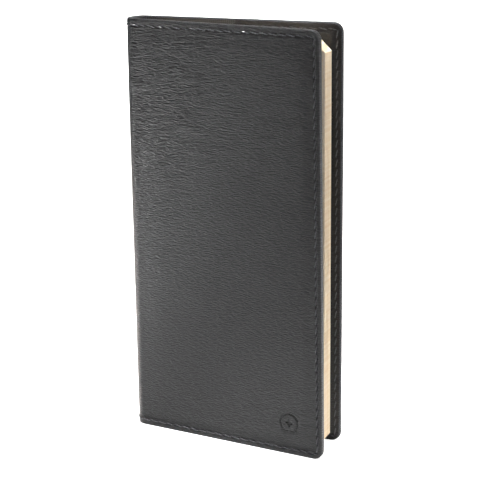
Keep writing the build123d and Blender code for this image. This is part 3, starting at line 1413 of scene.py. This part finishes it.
        def place(share: float, sideways: float, up: float) -> Point:
            """Carry a point of the stitch to the row frame; its ends stop short of the holes.

            Args:
                share: how far along the stitch.
                sideways: distance to its side.
                up: height over what it lies on.

            Returns:
                The place, in metres.
            """
            along = self.thread.end_gap + (1 - 2 * self.thread.end_gap) * share
            s, w = (a + (b - a) * along + c * sideways for a, b, c in zip(*holes, across))
            height = self.stitch_level + up if out else self.inside_level(s) - up
            return self.path(max(s, 0.0), w, height)

        self.thread.stitch(mesh, place)

    def build_seam(self, material: Material) -> Object:
        """Build the seam's stitches, outside and inside.

        Args:
            material: the thread's finish.

        Returns:
            The thread piece.
        """
        mesh = MeshMaker()
        for first, step, count, across in self.seam_runs():
            holes = [(first[0] + i * step[0], first[1] + i * step[1]) for i in range(count + 1)]
            for pair in zip(holes, holes[1:]):
                self.lay_stitch(mesh, pair, across, out=True)
                self.lay_stitch(mesh, pair, across, out=False)
        name = f"{self.side.value}_seam_stitches"
        made = mesh.build(name, material, THREAD_CREASE_DEG, refined=False)
        return self.settle(made, "{}_seam_thread", on_spine=True)


# The refill -----------------------------------------------------------------------------------


@dataclass
class Refill:
    """The sewn page block: folded sections of separate leaves."""

    STATIONS: ClassVar[tuple[float, ...]] = (0.0, 0.35, 1.0, 4.0, 12.0, 24.0, 38.0, 52.0, 64.0)

    leaf_count: int = 8
    leaf_thickness: float = 0.075
    leaf_wave: float = 0.012
    corner_cut: float = 7.0
    uneven_cut: float = 0.14
    swell: float = 0.03
    sections: int = 8
    first_seed: int = 100

    def leaf(self, mesh: MeshMaker, place: Place, end: float, rows: Flat, level: float) -> None:
        """Add one leaf as a thin closed sheet.

        Args:
            mesh: the section's mesh.
            place: carries (x from the fold, thickness direction, w) to the row frame.
            end: from the fold to the leaf's cut edge.
            rows: tail and head of the leaf.
            level: middle of the leaf in the section's thickness.
        """
        cut_x = end - self.corner_cut
        stations = [*self.STATIONS, cut_x, end - self.corner_cut / 2, end]
        columns = []
        half = self.leaf_thickness / 2
        for x in stations:
            gather = smooth(x)
            wave = self.leaf_wave * math.sin(0.12 * x + 9 * level)
            middle = level * (0.15 + 0.85 * gather) + wave
            top = rows[1] - max(0.0, x - cut_x)
            outline = ((-half, rows[0]), (half, rows[0]), (half, top), (-half, top))
            column = [mesh.add(place(x, middle + side, w), (x, w)) for side, w in outline]
            columns.append(column + column[:1])
        mesh.loft(columns, capped=True)

    def build_section(self, number: int, material: Material) -> Object:
        """Build one folded section.

        Args:
            number: its place from the front, from 1.
            material: the paper's finish.

        Returns:
            The section piece.
        """
        hinge = joint(f"section_{number}_hinge")
        origin = Vector(hinge["pos_m"])
        opening = math.radians(max(0.0, -float(hinge["range_deg"][0])))
        turn = Matrix.Rotation(opening * hinge["axis"][2], 3, "Z")
        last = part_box("section_8")
        length = (last[1][0] - origin[0]) / MM
        rows = (last[0][2] / MM, last[1][2] / MM)
        draw = random.Random(self.first_seed + number)
        mesh = MeshMaker()

        def place(x: float, across: float, w: float) -> Point:
            """Carry a point of the section to the row frame."""
            return tuple(origin + turn @ Vector((x * MM, across * MM, 0)) + Vector((0, 0, w * MM)))

        spread = span_mm("section_8", 1) + self.swell
        for index in range(self.leaf_count):
            level = ((index + 0.5) / self.leaf_count - 0.5) * spread
            end = length + draw.uniform(-self.uneven_cut, 0.0)
            self.leaf(mesh, place, end, rows, level)
        made = mesh.build(f"section_{number}_leaves", material, LEAF_CREASE_DEG)
        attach(made, f"section_{number}")
        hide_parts(f"section_{number}")
        return made

    def build(self, material: Material) -> list[Object]:
        """Build every section and return the pieces."""
        return [self.build_section(index + 1, material) for index in range(self.sections)]


# Carried-over nodes, stage, camera ------------------------------------------------------------


def dress(nodes: Iterable[str], material: Material) -> None:
    """Give CAD nodes that stay a finish.

    Args:
        nodes: the nodes' names.
        material: their finish.
    """
    for name in nodes:
        shown = frame["nodes"][name]
        shown.data.materials.clear()
        shown.data.materials.append(material)
        log.info("%s: %s", name, material.name)


@dataclass(frozen=True)
class Softbox:
    """A square soft light, in metres, watts and degrees; it points straight down if not aimed."""

    name: str
    place: Point
    side: float
    watts: float
    spread_deg: float
    aim: Point | None = None
    colour: str = "ffffff"

    def hang(self) -> None:
        """Hang the light, unseen by the camera."""
        data = bpy.data.lights.new(self.name, "AREA")
        data.size = self.side
        data.energy = self.watts
        data.color = linear(self.colour)[:3]
        data.spread = math.radians(self.spread_deg)
        made = bpy.data.objects.new(self.name, data)
        made.location = self.place
        made.rotation_mode = "QUATERNION"
        aim = Vector(self.aim or (*self.place[:2], 0.0))
        made.rotation_quaternion = (aim - Vector(self.place)).to_track_quat("-Z", "Y")
        made.visible_camera = False
        bpy.context.scene.collection.objects.link(made)


@dataclass
class Studio:
    """Table, lights and camera.

    The front cover mirrors the table at its front left, so small pools of light there brighten the
    left of the leather, and the dimmer table round them leaves the right dark. Light from above
    grazes the cover and picks out its ridges and the stitches along its head.
    """

    floor_reach: float = 6.0
    # A backlit table looks nearly white from every side, but its glow doesn't reach the leather.
    table_glow: float = 0.85
    surround: float = 0.13
    softboxes: tuple[Softbox, ...] = (
        Softbox("floor_behind", (0.0, 0.9, 1.4), 1.5, 9.0, 90),
        Softbox("floor_far_left", (-0.55, 1.2, 0.7), 0.5, 3.0, 70),
        Softbox("floor_farthest_left", (-0.6, 2.2, 1.0), 0.8, 14.0, 80),
        Softbox("floor_left", (-0.22, -0.02, 0.4), 0.2, 0.12, 60),
        Softbox("pool_near_left", (-0.20, -0.08, 0.25), 0.06, 0.9, 40),
        Softbox("pool_left", (-0.31, -0.08, 0.25), 0.06, 0.5, 40),
        Softbox("pool_far_left", (-0.42, -0.18, 0.25), 0.06, 0.18, 40),
        Softbox("pool_front", (0.0, -0.08, 0.25), 0.06, 0.08, 40),
        Softbox("spine_edge", (-0.7, 0.2, 0.05), 0.12, 0.05, 12, (-0.05, 0.0, 0.02), "ffe6d6"),
        Softbox("fore_edge", (0.9, 0.06, 0.3), 0.35, 0.55, 50, (0.05, 0.0, 0.09)),
        Softbox("overhead", (0.0, -0.05, 1.1), 0.06, 0.13, 12, (0.0, 0.03, 0.0)),
        Softbox("head_edges", (0.0, 0.28, 0.75), 0.4, 1.5, 50, (0.0, 0.2, 0.0)),
    )
    # The camera: its angles, its distance, and how far it stands to the right and up, in mm.
    azimuth_deg: float = 22.16
    elevation_deg: float = 15.19
    roll_deg: float = -0.71
    distance_mm: float = 633.7
    aside_mm: Flat = (39.66, -5.79)
    sensor_mm: float = 36.0
    lens_per_sensor: float = 3.0955

    def build_floor(self) -> None:
        """Lay a plain pale floor, lit from below like a light table for the camera only."""
        mesh = bpy.data.meshes.new("floor")
        reach = self.floor_reach
        corners = [(-reach, -reach, 0), (reach, -reach, 0), (reach, reach, 0), (-reach, reach, 0)]
        mesh.from_pydata(corners, [], [(0, 1, 2, 3)])
        made = bpy.data.materials.new("pale_floor")
        made.use_nodes = True
        tree = made.node_tree
        tree.nodes.clear()
        seen = add_node(tree, "ShaderNodeLightPath")
        glow = add_node(tree, MATH, MULTIPLY, {0: seen, 1: self.table_glow})
        surface = {"Base Color": linear("f4f4f4"), "Roughness": 0.9}
        surface |= {"Emission Color": linear("ffffff"), "Emission Strength": glow}
        shader = add_node(tree, "ShaderNodeBsdfPrincipled", links=surface)
        add_node(tree, "ShaderNodeOutputMaterial", links={"Surface": shader})
        mesh.materials.append(made)
        floor = bpy.data.objects.new("floor", mesh)
        bpy.context.scene.collection.objects.link(floor)

    def build_lights(self) -> None:
        """Hang the lights and set the surroundings, which are white where the camera sees them."""
        world = bpy.data.worlds.new("studio")
        bpy.context.scene.world = world
        world.use_nodes = True
        tree = world.node_tree
        tree.nodes.clear()
        seen = add_node(tree, "ShaderNodeLightPath")
        tint = linear("fdfdff")
        dim, white = (
            add_node(tree, "ShaderNodeBackground", links={"Color": tint, "Strength": strength})
            for strength in (self.surround, 1.0)
        )
        shown = add_node(tree, "ShaderNodeMixShader", links={0: seen, 1: dim, 2: white})
        add_node(tree, "ShaderNodeOutputWorld", links={"Surface": shown})
        for softbox in self.softboxes:
            softbox.hang()

    def build_camera(self, sizes: CoverSizes, path: CoverPath) -> None:
        """Set the camera three-quarters on to the front cover, from a little above.

        Args:
            sizes: the cover's sizes.
            path: a cover's path, whose hinge places the camera.
        """
        angles = (self.azimuth_deg, self.elevation_deg, self.roll_deg)
        azimuth, elevation, roll = (math.radians(angle) for angle in angles)
        level = math.cos(elevation)
        back = Vector(
            (math.sin(azimuth) * level, -math.cos(azimuth) * level, math.sin(elevation))
        )
        right = Vector((math.cos(azimuth), math.sin(azimuth), 0))
        up = back.cross(right)
        rolled_right = math.cos(roll) * right + math.sin(roll) * up
        rolled_up = math.cos(roll) * up - math.sin(roll) * right
        middle_y = path.hinge[1] - path.sign * sizes.half_thickness
        aim = Vector((path.hinge[0], middle_y, sizes.height / 2))
        right_mm, up_mm = self.aside_mm
        place = aim + back * self.distance_mm + rolled_right * right_mm + rolled_up * up_mm
        data = bpy.data.cameras.new("camera")
        data.sensor_width = self.sensor_mm
        data.lens = self.sensor_mm * self.lens_per_sensor
        data.clip_start = 0.05
        made = bpy.data.objects.new("camera", data)
        axes = Matrix((rolled_right, rolled_up, back)).transposed()
        made.matrix_world = Matrix.Translation(place * MM) @ axes.to_4x4()
        bpy.context.scene.collection.objects.link(made)
        bpy.context.scene.camera = made


def main() -> None:
    """Build the covers, the refill and the studio in order."""
    logging.basicConfig(level=logging.INFO, format="%(name)s %(message)s")
    sizes = CoverSizes.from_frame()
    log.info("cover %s", sizes)
    leather = GrainedCalf("grained_calf_leather").material()
    lining = RibbedLining("ribbed_viscose_lining").material()
    # The black thread's colours reach mid-grey: a painted highlight for its glints over its own
    # black.
    thread = PliedThread("waxed_black_thread", "29292b", "69696d", 0.24).material()
    card = Fibrous("pressed_refill_card", "8e8575", "b5ac9a", 0.5).material()
    board = Fibrous("grey_millboard", "6f6a62", "8d877d", 0.4).material()
    foam = Fibrous("thin_closed_foam", "3a3a3b", "565657", 0.25).material()
    gauze = Fibrous("starched_gauze", "d8d2c4", "efeadd", 0.6, relief_mm=0.12).material()
    glue = Fibrous("flexible_binding_glue", "ded8c6", "f1ecdd", 2.0, roughness=0.45).material()
    linen = PliedThread("linen_sewing_thread", "d9d4c6", "f4f1e7").material()
    covers = [Cover(side, sizes) for side in Side]
    for cover in covers:
        skin = cover.build_leather(leather)
        cover.build_lining(lining, skin)
        cover.build_flap(leather)
        cover.build_seam(thread)
        round_corner, card_corner = sizes.board_corner, sizes.card_corner
        pad = cover.build_panel("{}_padding", "padding_foam", sizes.foam, round_corner, foam)
        cover.build_panel("{}_board", "cover_board", sizes.board, round_corner, board)
        cover.build_panel("insert_{}_card", "insert_card", sizes.card, card_corner, card)
    Refill().build(CreamPaper("cream_wove_paper").material())
    dress(("insert_spine_card",), card)
    dress(("spine_stiffener",), board)
    dress(("spine_mull",), gauze)
    dress(("spine_glue",), glue)
    dress((f"section_{number}_thread" for number in range(1, 9)), linen)

    studio = Studio()
    studio.build_floor()
    studio.build_lights()
    studio.build_camera(sizes, covers[1].path)
    bpy.context.scene.view_settings.view_transform = "Standard"


if __name__ == "__main__":
    main()
